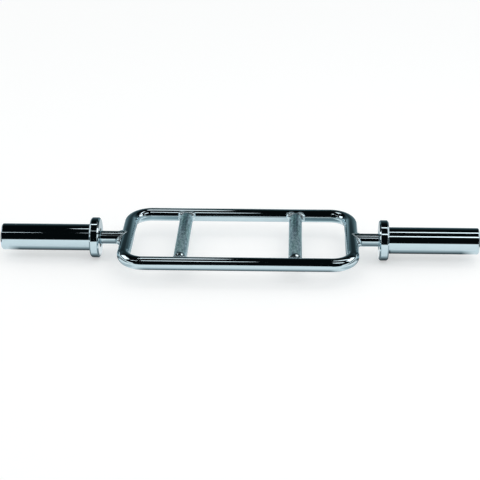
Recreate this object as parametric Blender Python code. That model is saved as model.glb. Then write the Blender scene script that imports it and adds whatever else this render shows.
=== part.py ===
"""A chrome triceps bar with two turning sleeves, in metres.

The frame lies flat in the XY plane with its middle at the origin. X runs along the bar
and Z is square to the frame. Both sleeves turn about the X axis, on spindles that are
welded to the frame.
"""

import math

import bmesh
import bpy
from mathutils import Matrix, Vector

# Frame, measured between centre lines
LOOP_LENGTH = 0.424
LOOP_DEPTH = 0.208
BEND_RADIUS = 0.039
GRIP_SPACING = 0.212
BAR_DIAMETER = 0.025
GRIP_DIAMETER = 0.025
COPE_TRIM = 0.004  # a coped member stops this far from the centre line of the bar it meets

# Welds
WELD_SIDE = 0.0048  # radius of the bead beside the member
WELD_TOP = 0.0024  # radius of the bead over and under the member
WELD_SINK = 0.001  # the bead's middle lies this far inside the member's surface
WELD_RISE = 0.0002  # and this far outside the bar's surface

# Sleeve and collar
SLEEVE_DIAMETER = 0.050
SLEEVE_BORE = 0.036
LOADING_LENGTH = 0.1695  # from the collar to the end of the sleeve
SLEEVE_CHAMFER = 0.002
COLLAR_DIAMETER = 0.076
COLLAR_WIDTH = 0.0175
COLLAR_CHAMFER = 0.00275
COLLAR_LIP = 0.004  # wall left at the collar's inner face, behind the sleeve tube
COLLAR_STANDOFF = 0.0385  # bare spindle between the frame and the collar

# Spindle, bushings and the parts that hold the sleeve on
SPINDLE_DIAMETER = 0.025
JOURNAL_DIAMETER = 0.020
BUSHING_LENGTH = 0.035
BUSHING_RECESS = 0.001  # from the collar's inner face to the inner bushing
THRUST_THICKNESS = 0.002
RETAINER_THICKNESS = 0.003
WASHER_CLEARANCE = 0.0015  # between the washers and the sleeve that turns round them
LOCK_THICKNESS = 0.0022
LOCK_OVERHANG = 0.00025  # of the lock washer beyond the bolt head
LOCK_SLIT = 0.002
BOLT_DIAMETER = 0.010
BOLT_REACH = 0.022  # length of thread inside the spindle
TAP_DEPTH = 0.026
HEAD_DIAMETER = 0.016
HEAD_HEIGHT = 0.010
BOLT_RECESS = 0.004  # from the end of the sleeve to the top of the bolt
KEY_SIZE = 0.008  # across the flats of the hexagon socket
KEY_DEPTH = 0.005

# Clearances and small edges
GAP = 0.0003  # between pieces that touch, or that run on each other
END_FLOAT = 0.0006  # play of the sleeve along its spindle
EDGE = 0.0008

# Facets
TURNED_SEGMENTS = 32  # a collar's flats are then wide enough to stand still on a gentle slope
SMALL_SEGMENTS = 28
BAR_SIDES = 24
BEND_STEPS = 8
WELD_STATIONS = 28
WELD_ARC_STEPS = 5
HALVINGS = 40  # of the step that finds where a bead meets the bar
MERGE_DISTANCE = 1e-6
SHARP_ANGLE = math.radians(35)

# Radii
BAR_RADIUS = BAR_DIAMETER / 2
GRIP_RADIUS = GRIP_DIAMETER / 2
SPINDLE_RADIUS = SPINDLE_DIAMETER / 2
JOURNAL_RADIUS = JOURNAL_DIAMETER / 2
SLEEVE_RADIUS = SLEEVE_DIAMETER / 2
BORE_RADIUS = SLEEVE_BORE / 2
COLLAR_RADIUS = COLLAR_DIAMETER / 2
WASHER_RADIUS = BORE_RADIUS - WASHER_CLEARANCE
BOLT_RADIUS = BOLT_DIAMETER / 2
HEAD_RADIUS = HEAD_DIAMETER / 2
LOCK_RADIUS = HEAD_RADIUS + LOCK_OVERHANG

# Stations along a spindle, measured outwards from the centre line of the frame's end
COLLAR_FACE = BAR_RADIUS + COLLAR_STANDOFF
SLEEVE_START = COLLAR_FACE + COLLAR_LIP + GAP
COLLAR_BACK = COLLAR_FACE + COLLAR_WIDTH
SLEEVE_END = COLLAR_BACK + LOADING_LENGTH
INNER_BUSHING_START = COLLAR_FACE + BUSHING_RECESS
BOLT_SEAT = SLEEVE_END - BOLT_RECESS - HEAD_HEIGHT
LOCK_START = BOLT_SEAT - GAP - LOCK_THICKNESS
RETAINER_START = LOCK_START - GAP - RETAINER_THICKNESS
SPINDLE_END = RETAINER_START - GAP
OUTER_BUSHING_START = SPINDLE_END - END_FLOAT - BUSHING_LENGTH
THRUST_START = OUTER_BUSHING_START - GAP - THRUST_THICKNESS
SPINDLE_STEP = THRUST_START - GAP


def clear_scene():
    for old in list(bpy.data.objects):
        bpy.data.objects.remove(old, do_unlink=True)


def make_material(name, color, roughness, metallic):
    made = bpy.data.materials.new(name)
    made.use_nodes = True
    shader = made.node_tree.nodes["Principled BSDF"]
    shader.inputs["Base Color"].default_value = (*color, 1.0)
    shader.inputs["Roughness"].default_value = roughness
    shader.inputs["Metallic"].default_value = metallic
    return made


def finished_mesh(builder, name):
    """The mesh of a closed shape, with its faces pointing out and its round faces smooth."""
    bmesh.ops.remove_doubles(builder, verts=builder.verts, dist=MERGE_DISTANCE)
    bmesh.ops.recalc_face_normals(builder, faces=builder.faces)
    mesh = bpy.data.meshes.new(name)
    builder.to_mesh(mesh)
    builder.free()
    mesh.shade_smooth()
    mesh.set_sharp_from_angle(angle=SHARP_ANGLE)
    return mesh


def add_object(name, mesh, parent=None, location=(0, 0, 0), turn=0.0):
    """An object at a location in its parent, turned about Z."""
    made = bpy.data.objects.new(name, mesh)
    made.parent = parent
    made.location = location
    made.rotation_euler = (0, 0, turn)
    bpy.context.scene.collection.objects.link(made)
    return made


def add_piece(name, mesh, material, parent=None, location=(0, 0, 0), turn=0.0):
    made = add_object(name, mesh, parent, location, turn)
    if not mesh.materials:
        mesh.materials.append(material)
    return made


def add_cutter(name, mesh, parent, location=(0, 0, 0), turn=0.0):
    made = add_object(name, mesh, parent, location, turn)
    made.hide_render = True
    made.display_type = 'WIRE'
    return made


def cut(piece, cutter):
    modifier = piece.modifiers.new(cutter.name, 'BOOLEAN')
    modifier.operation = 'DIFFERENCE'
    modifier.solver = 'EXACT'
    modifier.object = cutter


def turned(name, profile, segments=TURNED_SEGMENTS):
    """A solid turned about X from (station, radius) points.

    A profile that starts on the axis also ends there; any other is closed into a ring.
    A flat faces straight down, so that the turned collars stand on flats.
    """
    builder = bmesh.new()
    half_step = Matrix.Rotation(math.pi / segments, 4, 'X')
    points = []
    for station, radius in profile:
        points.append(builder.verts.new(half_step @ Vector((station, 0, radius))))
    edges = [builder.edges.new(pair) for pair in zip(points, points[1:])]
    if profile[0][1] > 0:
        edges.append(builder.edges.new((points[-1], points[0])))
    bmesh.ops.spin(
        builder,
        geom=points + edges,
        cent=(0, 0, 0),
        axis=(1, 0, 0),
        angle=math.tau,
        steps=segments,
        use_merge=True,
    )
    return finished_mesh(builder, name)


def ring_profile(start, end, inner, outer, inner_edge, start_edge, end_edge):
    """The section of a ring, with a chamfer on each of its four edges."""
    return [
        (start, outer - start_edge),
        (start + start_edge, outer),
        (end - end_edge, outer),
        (end, outer - end_edge),
        (end, inner + inner_edge),
        (end - inner_edge, inner),
        (start + inner_edge, inner),
        (start, inner + inner_edge),
    ]


def hoop(name, sections):
    """A closed hoop through a ring of sections, each with the same number of points."""
    builder = bmesh.new()
    rings = [[builder.verts.new(point) for point in section] for section in sections]
    sides = len(sections[0])
    for ring, after in zip(rings, rings[1:] + rings[:1]):
        for step in range(sides):
            following = (step + 1) % sides
            builder.faces.new((ring[step], ring[following], after[following], after[step]))
    return finished_mesh(builder, name)


def loop_sections():
    """Round sections along the frame's centre line: four straights joined by quarter bends."""
    upwards = Vector((0, 0, 1))
    sections = []
    for corner, (x_side, y_side) in enumerate(((1, 1), (-1, 1), (-1, -1), (1, -1))):
        centre = Vector((
            x_side * (LOOP_LENGTH / 2 - BEND_RADIUS),
            y_side * (LOOP_DEPTH / 2 - BEND_RADIUS),
            0,
        ))
        for step in range(BEND_STEPS + 1):
            angle = math.pi / 2 * (corner + step / BEND_STEPS)
            outward = Vector((math.cos(angle), math.sin(angle), 0))
            section = []
            for side in range(BAR_SIDES):
                round_angle = math.tau * side / BAR_SIDES
                spoke = outward * math.cos(round_angle) + upwards * math.sin(round_angle)
                section.append(centre + outward * BEND_RADIUS + spoke * BAR_RADIUS)
            sections.append(section)
    return sections


def weld_section(angle, member_radius):
    """Points of the bead at one angle round the member, as (distance along it, radius) pairs.

    The outside is an arc. It starts on the member and ends on the bar or, over and under
    the member where the two surfaces run flush, back on the member. The inside follows
    the surfaces, a gap away.
    """
    middle = member_radius - WELD_SINK
    member_wall = member_radius + GAP
    bar_wall = BAR_RADIUS + GAP
    reach = max(BAR_RADIUS, member_radius) + WELD_RISE
    out = math.sqrt(reach ** 2 - (middle * math.sin(angle)) ** 2)
    fullness = math.cos(angle) ** 2
    radius = WELD_SIDE * fullness + WELD_TOP * (1 - fullness)

    def on_arc(turn):
        return out + radius * math.cos(turn), middle + radius * math.sin(turn)

    def clear_of_bar(turn):
        along, away = on_arc(turn)
        return along ** 2 + (away * math.sin(angle)) ** 2 > bar_wall ** 2

    first = math.asin((member_wall - middle) / radius)
    last = math.pi - first
    meets_bar = not clear_of_bar(last)
    if meets_bar:
        outside, inside = first, last
        for _ in range(HALVINGS):
            half = (outside + inside) / 2
            if clear_of_bar(half):
                outside = half
            else:
                inside = half
        last = outside
    points = [on_arc(first + (last - first) * step / WELD_ARC_STEPS) for step in range(WELD_ARC_STEPS + 1)]
    if meets_bar:
        root = math.sqrt(bar_wall ** 2 - (member_wall * math.sin(angle)) ** 2)
    else:
        root = (points[0][0] + points[-1][0]) / 2
    points.append((root, member_wall))
    return points


def weld_mesh(member_radius):
    """A bead round a member that runs along +X from a bar that lies along Y."""
    sections = []
    for station in range(WELD_STATIONS):
        angle = math.tau * (station + 0.5) / WELD_STATIONS
        spoke = Vector((0, math.cos(angle), math.sin(angle)))
        sections.append([
            spoke * away + Vector((along, 0, 0)) for along, away in weld_section(angle, member_radius)])
    return hoop("weld", sections)


def weld_joint(name, location, turn, member_radius, parent=None):
    """The bead where a member meets the frame's bar, and the cutter that copes the member."""
    joint = add_object(name + "_joint", None, parent, location, turn)
    half_length = 2 * member_radius
    bar_shape = turned(name + "_bar_cutter", [
        (-half_length, 0),
        (-half_length, BAR_RADIUS + GAP),
        (half_length, BAR_RADIUS + GAP),
        (half_length, 0),
    ])
    add_piece(name + "_weld", weld_mesh(member_radius), WELD, joint)
    return add_cutter(name + "_bar_cutter", bar_shape, joint, turn=math.pi / 2)


def grip_mesh():
    """A round grip, long enough to be coped to both rails."""
    half = LOOP_DEPTH / 2 - COPE_TRIM
    return turned("grip", [(-half, 0), (-half, GRIP_RADIUS), (half, GRIP_RADIUS), (half, 0)])


def spindle_mesh():
    """The axle of one sleeve: a full-size shank, a step, and a journal tapped for the bolt."""
    hole = BOLT_RADIUS + GAP
    step_edge = min(EDGE, (SPINDLE_RADIUS - JOURNAL_RADIUS) / 2)
    end_edge = min(EDGE, (JOURNAL_RADIUS - hole) / 3)
    return turned("spindle", [
        (COPE_TRIM, 0),
        (COPE_TRIM, SPINDLE_RADIUS),
        (SPINDLE_STEP - step_edge, SPINDLE_RADIUS),
        (SPINDLE_STEP, SPINDLE_RADIUS - step_edge),
        (SPINDLE_STEP, JOURNAL_RADIUS),
        (SPINDLE_END - end_edge, JOURNAL_RADIUS),
        (SPINDLE_END, JOURNAL_RADIUS - end_edge),
        (SPINDLE_END, hole + end_edge),
        (SPINDLE_END - end_edge, hole),
        (SPINDLE_END - TAP_DEPTH, hole),
        (SPINDLE_END - TAP_DEPTH - hole / 2, 0),
    ])


def collar_mesh():
    """The flange that plates rest against, counterbored from outside for the sleeve tube."""
    seat_radius = SLEEVE_RADIUS + GAP
    chamfer = min(COLLAR_CHAMFER, COLLAR_WIDTH / 3, (COLLAR_RADIUS - seat_radius) / 2)
    return turned("collar", [
        (0, COLLAR_RADIUS - chamfer),
        (chamfer, COLLAR_RADIUS),
        (COLLAR_WIDTH - chamfer, COLLAR_RADIUS),
        (COLLAR_WIDTH, COLLAR_RADIUS - chamfer),
        (COLLAR_WIDTH, seat_radius),
        (COLLAR_LIP, seat_radius),
        (COLLAR_LIP, BORE_RADIUS),
        (EDGE, BORE_RADIUS),
        (0, BORE_RADIUS + EDGE),
    ])


def sleeve_mesh():
    """The loading sleeve, seated in the collar and chamfered at its open end."""
    wall = SLEEVE_RADIUS - BORE_RADIUS
    edge = min(EDGE, wall / 4)
    chamfer = min(SLEEVE_CHAMFER, wall / 2)
    return turned("sleeve_tube", ring_profile(
        0, SLEEVE_END - SLEEVE_START, BORE_RADIUS, SLEEVE_RADIUS, edge, edge, chamfer))


def bushing_mesh(name, shaft_radius):
    """A plain bush, pressed into the sleeve and running on the spindle."""
    inner = shaft_radius + GAP
    outer = BORE_RADIUS - GAP
    edge = min(EDGE, (outer - inner) / 4)
    return turned(name, ring_profile(0, BUSHING_LENGTH, inner, outer, edge, edge, edge), SMALL_SEGMENTS)


def washer_mesh(name, thickness, shaft_radius, outer):
    inner = shaft_radius + GAP
    edge = min(EDGE, thickness / 4, (outer - inner) / 4)
    return turned(name, ring_profile(0, thickness, inner, outer, edge, edge, edge), SMALL_SEGMENTS)


def bolt_mesh():
    """A socket head bolt, with x = 0 under its head and its shank towards -X."""
    shank = BOLT_REACH + (BOLT_SEAT - SPINDLE_END)
    return turned("retaining_bolt", [
        (-shank, 0),
        (-shank, BOLT_RADIUS - EDGE),
        (-shank + EDGE, BOLT_RADIUS),
        (0, BOLT_RADIUS),
        (0, HEAD_RADIUS - EDGE / 2),
        (EDGE / 2, HEAD_RADIUS),
        (HEAD_HEIGHT - EDGE, HEAD_RADIUS),
        (HEAD_HEIGHT, HEAD_RADIUS - EDGE),
        (HEAD_HEIGHT, 0),
    ], SMALL_SEGMENTS)


def key_mesh():
    """The hexagon that cuts the bolt's socket."""
    corner = KEY_SIZE / math.sqrt(3)
    return turned("key_cutter", [(0, 0), (0, corner), (2 * KEY_DEPTH, corner), (2 * KEY_DEPTH, 0)], 6)


def slit_mesh():
    """The block that splits the lock washer."""
    builder = bmesh.new()
    bmesh.ops.create_cube(builder, size=1.0)
    bmesh.ops.scale(builder, vec=(2 * LOCK_THICKNESS, LOCK_SLIT, 2 * LOCK_RADIUS), verts=builder.verts)
    return finished_mesh(builder, "slit_cutter")


clear_scene()

CHROME = make_material("chrome_plate", (0.62, 0.66, 0.68), 0.06, 1.0)
KNURL = make_material("knurled_chrome", (0.42, 0.46, 0.46), 0.32, 1.0)
WELD = make_material("weld_chrome", (0.60, 0.64, 0.66), 0.14, 1.0)
STEEL = make_material("turned_steel", (0.48, 0.48, 0.47), 0.30, 1.0)
BRONZE = make_material("oiled_bronze", (0.55, 0.36, 0.17), 0.38, 1.0)

# The frame loop
loop_shape = hoop("frame_loop", loop_sections())
add_piece("frame_loop", loop_shape, CHROME)

# The two grips, each welded between the front and the rear rail
grip_shape = grip_mesh()
for side, x_sign in (("left", -1), ("right", 1)):
    grip_x = x_sign * GRIP_SPACING / 2
    grip = add_piece(side + "_grip", grip_shape, KNURL, location=(grip_x, 0, 0), turn=math.pi / 2)
    for rail, y_sign in (("front", -1), ("rear", 1)):
        place = (grip_x, y_sign * LOOP_DEPTH / 2, 0)
        inwards = -y_sign * math.pi / 2
        cut(grip, weld_joint(side + "_grip_" + rail, place, inwards, GRIP_RADIUS))

# What is the same at both ends
spindle_shape = spindle_mesh()
collar_shape = collar_mesh()
sleeve_shape = sleeve_mesh()
inner_bushing_shape = bushing_mesh("inner_bushing", SPINDLE_RADIUS)
outer_bushing_shape = bushing_mesh("outer_bushing", JOURNAL_RADIUS)
thrust_shape = washer_mesh("thrust_washer", THRUST_THICKNESS, JOURNAL_RADIUS, WASHER_RADIUS)
retainer_shape = washer_mesh("retaining_washer", RETAINER_THICKNESS, BOLT_RADIUS, WASHER_RADIUS)
lock_shape = washer_mesh("lock_washer", LOCK_THICKNESS, BOLT_RADIUS, LOCK_RADIUS)
bolt_shape = bolt_mesh()
key_shape = key_mesh()
slit_shape = slit_mesh()

for side, x_sign in (("left", -1), ("right", 1)):
    outwards = 0.0 if x_sign > 0 else math.pi
    end_place = (x_sign * LOOP_LENGTH / 2, 0, 0)
    frame_end = add_object(side + "_frame_end", None, location=end_place, turn=outwards)

    # The spindle and the parts bolted to it stay with the frame
    spindle = add_piece(side + "_spindle", spindle_shape, CHROME, frame_end)
    cut(spindle, weld_joint(side + "_spindle", (0, 0, 0), 0.0, SPINDLE_RADIUS, frame_end))
    add_piece(side + "_thrust_washer", thrust_shape, STEEL, frame_end, (THRUST_START, 0, 0))
    add_piece(side + "_retaining_washer", retainer_shape, STEEL, frame_end, (RETAINER_START, 0, 0))
    lock = add_piece(side + "_lock_washer", lock_shape, STEEL, frame_end, (LOCK_START, 0, 0))
    slit = add_cutter(side + "_slit_cutter", slit_shape, lock,
                      (LOCK_THICKNESS / 2, 0, LOCK_RADIUS))
    cut(lock, slit)
    bolt = add_piece(side + "_retaining_bolt", bolt_shape, STEEL, frame_end, (BOLT_SEAT, 0, 0))
    key = add_cutter(side + "_key_cutter", key_shape, bolt, (HEAD_HEIGHT - KEY_DEPTH, 0, 0))
    cut(bolt, key)

    # The sleeve turns on the spindle about this empty's X axis
    spin_axis = add_object(side + "_spin_axis", None, frame_end, (COLLAR_FACE, 0, 0))
    add_piece(side + "_collar", collar_shape, CHROME, spin_axis)
    add_piece(side + "_sleeve_tube", sleeve_shape, CHROME, spin_axis, (SLEEVE_START - COLLAR_FACE, 0, 0))
    add_piece(side + "_inner_bushing", inner_bushing_shape, BRONZE, spin_axis, (BUSHING_RECESS, 0, 0))
    add_piece(side + "_outer_bushing", outer_bushing_shape, BRONZE, spin_axis,
              (OUTER_BUSHING_START - COLLAR_FACE, 0, 0))
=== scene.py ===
import math

import bmesh
import bpy
from mathutils import Matrix, Vector


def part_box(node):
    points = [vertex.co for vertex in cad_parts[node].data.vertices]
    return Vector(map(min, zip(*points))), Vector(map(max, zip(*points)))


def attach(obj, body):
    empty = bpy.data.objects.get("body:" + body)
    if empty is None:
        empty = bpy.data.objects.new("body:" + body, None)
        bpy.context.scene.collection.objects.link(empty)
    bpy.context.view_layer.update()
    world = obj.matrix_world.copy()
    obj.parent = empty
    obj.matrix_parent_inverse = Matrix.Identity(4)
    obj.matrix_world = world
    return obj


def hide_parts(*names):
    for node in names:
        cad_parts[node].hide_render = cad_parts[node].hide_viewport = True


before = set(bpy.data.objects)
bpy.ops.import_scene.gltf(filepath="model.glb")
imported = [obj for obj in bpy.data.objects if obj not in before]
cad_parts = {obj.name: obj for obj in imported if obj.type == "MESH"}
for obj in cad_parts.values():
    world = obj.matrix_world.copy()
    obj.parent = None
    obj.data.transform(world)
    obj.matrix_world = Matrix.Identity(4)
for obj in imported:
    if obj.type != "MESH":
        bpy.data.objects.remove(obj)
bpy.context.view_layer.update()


# The frame loop. One length of 25 mm cold-drawn steel bar, bent at four corners into a flat
# rectangle and butt welded where its ends meet. It is ground and polished before it is plated.
MM = 0.001
BEND_RADIUS = 39 * MM
BEND_THINNING = 0.015  # the bar flattens by this share on the outside of a bend
BEND_STEPS = 40
HOLD = 0.05 * MM  # a row this close to a bend or a round keeps the straight part's shading straight
BAR_SIDES = 96
CREASE = math.radians(35)  # an edge sharper than this is shaded as an edge
SAME_PLACE = 1e-7  # points this close are one point
loop_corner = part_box("frame_loop")[1]
bar_radius = loop_corner.z
end_x = loop_corner.x - bar_radius
rail_y = loop_corner.y - bar_radius


def linear(code):
    """The linear colour of an sRGB hex code."""
    parts = [int(code[place:place + 2], 16) / 255 for place in (1, 3, 5)]
    parts = [part / 12.92 if part <= 0.04045 else ((part + 0.055) / 1.055) ** 2.4 for part in parts]
    return (*parts, 1.0)


def add_node(tree, kind, inputs, **settings):
    """A node with its settings; each input is a value or another node's output."""
    node = tree.nodes.new(kind)
    for name, value in settings.items():
        setattr(node, name, value)
    for socket, value in inputs.items():
        if isinstance(value, bpy.types.NodeSocket):
            tree.links.new(value, node.inputs[socket])
        else:
            node.inputs[socket].default_value = value
    return node


def new_surface(name):
    """A node material, its tree, its shader and the surface coordinates in millimetres."""
    material = bpy.data.materials.new(name)
    material.use_nodes = True
    tree = material.node_tree
    shader = tree.nodes["Principled BSDF"]
    place = add_node(tree, "ShaderNodeUVMap", {}, uv_map="surface")
    return material, tree, shader, place.outputs["UV"]


def skin(name, rows, material, ring=False, sharp=CREASE):
    """A mesh through rows of points, each row a closed round. Its UVs are mm along and around."""
    mesh = bpy.data.meshes.new(name)
    count = len(rows[0])
    along = [0.0]
    for row, after in zip(rows, rows[1:] + rows[:1]):
        # The mean over every eighth point is near enough for the step from row to row.
        steps = [(b - a).length for a, b in zip(row[::8], after[::8])]
        along.append(along[-1] + sum(steps) / len(steps) / MM)
    around = max(sum((b - a).length for a, b in zip(row, row[1:] + row[:1])) for row in rows) / MM
    faces = []
    places = []
    for index in range(len(rows) if ring else len(rows) - 1):
        below = index * count
        above = (index + 1) % len(rows) * count
        for side in range(count):
            following = (side + 1) % count
            faces.append((below + side, below + following, above + following, above + side))
            left, right = side / count * around, (side + 1) / count * around
            low, high = along[index], along[index + 1]
            places += [low, left, low, right, high, right, high, left]
    mesh.from_pydata([point for row in rows for point in row], [], faces)
    mesh.uv_layers.new(name="surface").data.foreach_set("uv", places)
    builder = bmesh.new()
    builder.from_mesh(mesh)
    bmesh.ops.remove_doubles(builder, verts=builder.verts, dist=SAME_PLACE)
    bmesh.ops.recalc_face_normals(builder, faces=builder.faces)
    builder.to_mesh(mesh)
    builder.free()
    mesh.shade_smooth()
    mesh.set_sharp_from_angle(angle=sharp)
    mesh.materials.append(material)
    return mesh


def fit(name, mesh, body, node, turn=0.0, place=(0, 0, 0)):
    """Puts a piece in place of a CAD node, on its body."""
    piece = bpy.data.objects.new(name, mesh)
    piece.location = place
    piece.rotation_euler = (0, 0, turn)
    bpy.context.scene.collection.objects.link(piece)
    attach(piece, body)
    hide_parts(node)
    return piece


# Bright chromium on copper and nickel, buffed: a cool mirror with hardly any blur of its own.
# What shows up close is a soft haze in clouds, fine hairlines from the buff, and a slight swell.
HAZE_MM = (26, 18, 1)  # a cloud of haze, along the piece and round it; the third number has no use
HAIR_MM = (0.35, 9, 1)  # a line left by the buff, drawn as wide as it needs to show
SWELL_MM = (14, 7, 1)
chrome, tree, shader, place = new_surface("bright_chrome_plate")
haze_place = add_node(tree, "ShaderNodeVectorMath", {0: place, 1: HAZE_MM}, operation="DIVIDE")
haze = add_node(tree, "ShaderNodeTexNoise", {
    "Vector": haze_place.outputs["Vector"], "Scale": 1.0, "Detail": 4.0, "Roughness": 0.6})
hair_place = add_node(tree, "ShaderNodeVectorMath", {0: place, 1: HAIR_MM}, operation="DIVIDE")
hairs = add_node(tree, "ShaderNodeTexNoise", {
    "Vector": hair_place.outputs["Vector"], "Scale": 1.0, "Detail": 2.0, "Roughness": 0.5})
swell_place = add_node(tree, "ShaderNodeVectorMath", {0: place, 1: SWELL_MM}, operation="DIVIDE")
swell = add_node(tree, "ShaderNodeTexNoise", {
    "Vector": swell_place.outputs["Vector"], "Scale": 1.0, "Detail": 1.0, "Roughness": 0.4})
haze_blur = add_node(tree, "ShaderNodeMapRange", {
    "Value": haze.outputs["Fac"], "From Min": 0.35, "From Max": 0.75, "To Min": 0.03, "To Max": 0.06})
hair_blur = add_node(tree, "ShaderNodeMapRange", {
    "Value": hairs.outputs["Fac"], "From Min": 0.55, "From Max": 0.8, "To Min": 0.0, "To Max": 0.02})
blur = add_node(tree, "ShaderNodeMath", {
    0: haze_blur.outputs["Result"], 1: hair_blur.outputs["Result"]}, operation="ADD")
tint = add_node(tree, "ShaderNodeMix", {
    "Factor": haze.outputs["Fac"], "A": linear("#CBDFE6"), "B": linear("#BFD4DC")}, data_type="RGBA")
bump = add_node(tree, "ShaderNodeBump", {
    "Height": swell.outputs["Fac"], "Strength": 0.03, "Distance": 0.05 * MM})
tree.links.new(tint.outputs["Result"], shader.inputs["Base Color"])
tree.links.new(blur.outputs["Value"], shader.inputs["Roughness"])
tree.links.new(bump.outputs["Normal"], shader.inputs["Normal"])
shader.inputs["Metallic"].default_value = 1.0

rows = []
for corner, (x_side, y_side) in enumerate(((1, 1), (-1, 1), (-1, -1), (1, -1))):
    centre = Vector((x_side * (end_x - BEND_RADIUS), y_side * (rail_y - BEND_RADIUS), 0))
    for step in range(BEND_STEPS + 1):
        share = step / BEND_STEPS
        angle = math.pi / 2 * (corner + share)
        outward = Vector((math.cos(angle), math.sin(angle), 0))
        thinning = 1 - BEND_THINNING * math.sin(math.pi * share) ** 2
        row = []
        for side in range(BAR_SIDES):
            turn = math.tau * side / BAR_SIDES
            out = math.cos(turn) * (thinning if math.cos(turn) > 0 else 1.0)
            spoke = outward * out + Vector((0, 0, math.sin(turn)))
            row.append(centre + outward * BEND_RADIUS + spoke * bar_radius)
        hold = Vector((-outward.y, outward.x, 0)) * HOLD
        if step == 0:
            rows.append([point - hold for point in row])
        rows.append(row)
        if step == BEND_STEPS:
            rows.append([point + hold for point in row])
fit("bent_loop", skin("bent_loop", rows, chrome, ring=True), "frame", "frame_loop")


# The two cross grips. Straight 25 mm bar with a rolled diamond knurl, worn down towards the rear
# rail. The last few millimetres at each end are plain, chamfered for the weld, and welded on.
KNURL_PITCH = 1.4 * MM  # across a diamond, round the bar
KNURL_SLOPE = math.radians(30)  # between a groove and the bar
KNURL_DEPTH = 0.16 * MM
KNURL_CREASE = math.radians(50)  # the diamonds are small and rounded, so fewer edges are shaded as edges
KNURL_TOP = 0.72  # height of the diamond half way between groove and point
KNURL_WEAR = 0.6  # share of its depth that the knurl has lost towards the rear rail
WEAR_START = -35 * MM
WEAR_END = 35 * MM
STRIP_INNER = 0.22  # the worn strip along the grip, as shares of its radius off the middle
STRIP_OUTER = 0.55
KNURL_END = 22 * MM  # the knurl stops this far from the rail's centre line
KNURL_RUNOUT = 6  # rows over which the grooves run out at each end
POINT_ROUND = 0.02 * MM  # the plate rounds the points by this much
PLAIN_BLEND_MM = 1  # the finish changes over this distance at each side of the knurl's end
SQUARE_END = 15.0 * MM  # the end is cut square this far from the axis of the bar that it meets
SEAT = 0.2 * MM  # a member's end lies this far inside what it is welded to
END_EDGE = 2.2 * MM  # the chamfer for the weld
NARROW = 0.00001  # share of the radius that stands in for a point on the axis
FLAT = math.cos(math.pi / 32)  # a round CAD piece has 32 flats, at this share of its radius
grip_low, grip_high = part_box("right_grip")
grip_radius = (grip_high.x - grip_low.x) / 2 / FLAT
grip_x = grip_high.x - grip_radius * FLAT


def end_rows(angle_count, radius, bar, closest, edge):
    """Rows round the end of a member along +X, cut to fit a bar along Y, but no closer than given."""
    rows = []
    hold = HOLD / edge
    for share, inwards in ((0.0, 0.0), (1.0, 0.0), (1.0, hold), (1.0, 1.0 - hold), (1.0, 1.0)):
        row = []
        for side in range(angle_count):
            turn = math.tau * side / angle_count
            size = (radius - edge * (1 - inwards)) * max(share, NARROW)
            across, height = size * math.cos(turn), size * math.sin(turn)
            reach = math.sqrt(max((bar - SEAT) ** 2 - height ** 2, closest ** 2))
            row.append(Vector((reach + edge * inwards, across, height)))
        rows.append(row)
    rows.append([point + Vector((HOLD, 0, 0)) for point in rows[-1]])
    return rows


heights = (0.0, KNURL_TOP, 1.0, KNURL_TOP)  # from one groove to the next
knurl_columns = round(math.tau * grip_radius / KNURL_PITCH)
knurl_sides = knurl_columns * len(heights)
row_step = math.tau * grip_radius / knurl_sides / math.tan(KNURL_SLOPE)
knurl_half = round((rail_y - KNURL_END) / row_step)
grip_end = end_rows(knurl_sides, grip_radius, bar_radius, SQUARE_END, END_EDGE)
for row in grip_end:
    for point in row:
        point.x -= rail_y
grip_end.append([Vector((-(knurl_half + 2) * row_step, p.y, p.z)) for p in grip_end[-1]])
rows = list(grip_end)
for station in range(-knurl_half, knurl_half + 1):
    fade = min(1.0, (knurl_half - abs(station)) / KNURL_RUNOUT)
    worn = min(1.0, max(0.0, (station * row_step - WEAR_START) / (WEAR_END - WEAR_START)))
    fade *= 1 - KNURL_WEAR * worn
    row = []
    for side in range(knurl_sides):
        turn = math.tau * side / knurl_sides
        height = min(heights[(side + station) % len(heights)], heights[(side - station) % len(heights)])
        radius = grip_radius - KNURL_DEPTH * (1 - height) * fade
        row.append(Vector((station * row_step, radius * math.cos(turn), radius * math.sin(turn))))
    rows.append(row)
rows += [[Vector((-p.x, p.y, p.z)) for p in row] for row in reversed(grip_end)]

# Chromium over knurled steel: the plate levels the points a little and is rougher in the grooves, so it
# looks satin and grey from a step away, and sparkles up close. The grooves are also darkened in colour, as
# painted shade.
MOTTLE_MM = (9, 4.5, 1)  # a patch where the satin is duller
STREAK_MM = (70, 5, 1)  # a band that is greener or bluer, along the grip
GRAIN_MM = 0.5
knurled, tree, shader, place = new_surface("knurled_satin_chrome")
mottle_place = add_node(tree, "ShaderNodeVectorMath", {0: place, 1: MOTTLE_MM}, operation="DIVIDE")
mottle = add_node(tree, "ShaderNodeTexNoise", {
    "Vector": mottle_place.outputs["Vector"], "Scale": 1.0, "Detail": 5.0, "Roughness": 0.6})
streak_place = add_node(tree, "ShaderNodeVectorMath", {0: place, 1: STREAK_MM}, operation="DIVIDE")
streaks = add_node(tree, "ShaderNodeTexNoise", {
    "Vector": streak_place.outputs["Vector"], "Scale": 1.0, "Detail": 2.0, "Roughness": 0.5})
grain = add_node(tree, "ShaderNodeTexNoise", {
    "Vector": place, "Scale": 1 / GRAIN_MM, "Detail": 2.0, "Roughness": 0.5})
patches = add_node(tree, "ShaderNodeMapRange", {
    "Value": mottle.outputs["Fac"], "From Min": 0.36, "From Max": 0.64, "To Min": 0.0, "To Max": 1.0})
bands = add_node(tree, "ShaderNodeMapRange", {
    "Value": streaks.outputs["Fac"], "From Min": 0.40, "From Max": 0.60, "To Min": 0.0, "To Max": 1.0})
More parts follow.
